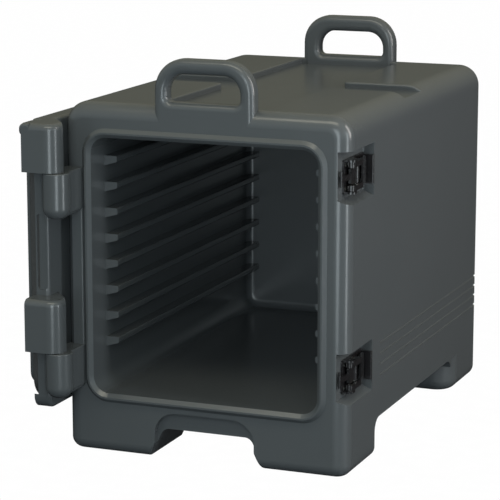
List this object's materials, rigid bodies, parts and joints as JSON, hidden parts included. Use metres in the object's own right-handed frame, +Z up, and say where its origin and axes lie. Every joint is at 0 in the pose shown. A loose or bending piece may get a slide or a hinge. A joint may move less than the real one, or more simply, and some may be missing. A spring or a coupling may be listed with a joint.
{
  "type": "insulated food carrier",
  "caption": "Front-loading insulated box for food pans, with side rails inside, a gasketed door folded back on the left, draw latches on the right and handles on top.",
  "frame": {"origin": "on the floor, under the middle of the whole object's plan box with its door folded back", "axes": "+X to the object's right, -Y out of its open front, +Y to its back, +Z up"},
  "size_m": [0.495, 0.732, 0.592],
  "materials": {
    "cabinet_skin": "satin, slightly textured polyethylene, dark slate",
    "door_skin": "satin, slightly textured polyethylene, dark slate",
    "insulation_foam": "closed-cell foam",
    "plug_plastic": "satin moulded plastic",
    "gasket_rubber": "soft matt silicone",
    "vent_plastic": "moulded nylon",
    "seal_rubber": "soft matt",
    "bush_plastic": "acetal",
    "pin_steel": "stainless, ground",
    "latch_plastic": "black nylon",
    "screw_steel": "stainless",
    "insert_brass": "knurled"
  },
  "bodies": {
    "cabinet": {"cabinet_shell": "cabinet_skin", "cabinet_foam": "insulation_foam", "fill_plugs": "plug_plastic", "latch_base_lower": "latch_plastic", "latch_base_upper": "latch_plastic", "latch_pivots_lower": "pin_steel", "latch_pivots_upper": "pin_steel", "latch_screws": "screw_steel", "latch_inserts": "insert_brass", "hinge_pin_lower": "pin_steel", "hinge_pin_upper": "pin_steel"},
    "door": {"door_shell": "door_skin", "door_foam": "insulation_foam", "door_gasket": "gasket_rubber", "door_fill_plug": "plug_plastic", "keeper_lower": "latch_plastic", "keeper_upper": "latch_plastic", "keeper_screws": "screw_steel", "keeper_inserts": "insert_brass", "hinge_bush_lower": "bush_plastic", "hinge_bush_upper": "bush_plastic"},
    "lever_lower": {"latch_lever_lower": "latch_plastic", "hook_pin_lower": "pin_steel"},
    "hook_lower": {"latch_hook_lower": "latch_plastic"},
    "lever_upper": {"latch_lever_upper": "latch_plastic", "hook_pin_upper": "pin_steel"},
    "hook_upper": {"latch_hook_upper": "latch_plastic"},
    "vent": {"vent_cap": "vent_plastic", "vent_seal": "seal_rubber"}
  },
  "joints": [
    {"name": "door_hinge", "type": "hinge", "parent": "cabinet", "child": "door", "pos_m": [-0.1755, -0.346, 0.295], "axis": [0, 0, 1], "range_deg": [0, 270]},
    {"name": "latch_lever_upper", "type": "hinge", "parent": "cabinet", "child": "lever_upper", "pos_m": [0.238, -0.255, 0.4325], "axis": [0, 0, -1], "range_deg": [0, 130]},
    {"name": "latch_hook_upper", "type": "hinge", "parent": "lever_upper", "child": "hook_upper", "pos_m": [0.2365, -0.231, 0.4325], "axis": [0, 0, -1], "range_deg": [-130, 0]},
    {"name": "latch_lever_lower", "type": "hinge", "parent": "cabinet", "child": "lever_lower", "pos_m": [0.238, -0.255, 0.145], "axis": [0, 0, -1], "range_deg": [0, 130]},
    {"name": "latch_hook_lower", "type": "hinge", "parent": "lever_lower", "child": "hook_lower", "pos_m": [0.2365, -0.231, 0.145], "axis": [0, 0, -1], "range_deg": [-130, 0]},
    {"name": "vent_turn", "type": "hinge", "parent": "door", "child": "vent", "pos_m": [-0.2015, -0.144, 0.415], "axis": [1, 0, 0], "range_deg": [0, 90]}
  ],
  "couplings": [
    {"joint": "latch_hook_upper", "follows": "latch_lever_upper", "ratio": -1},
    {"joint": "latch_hook_lower", "follows": "latch_lever_lower", "ratio": -1}
  ]
}
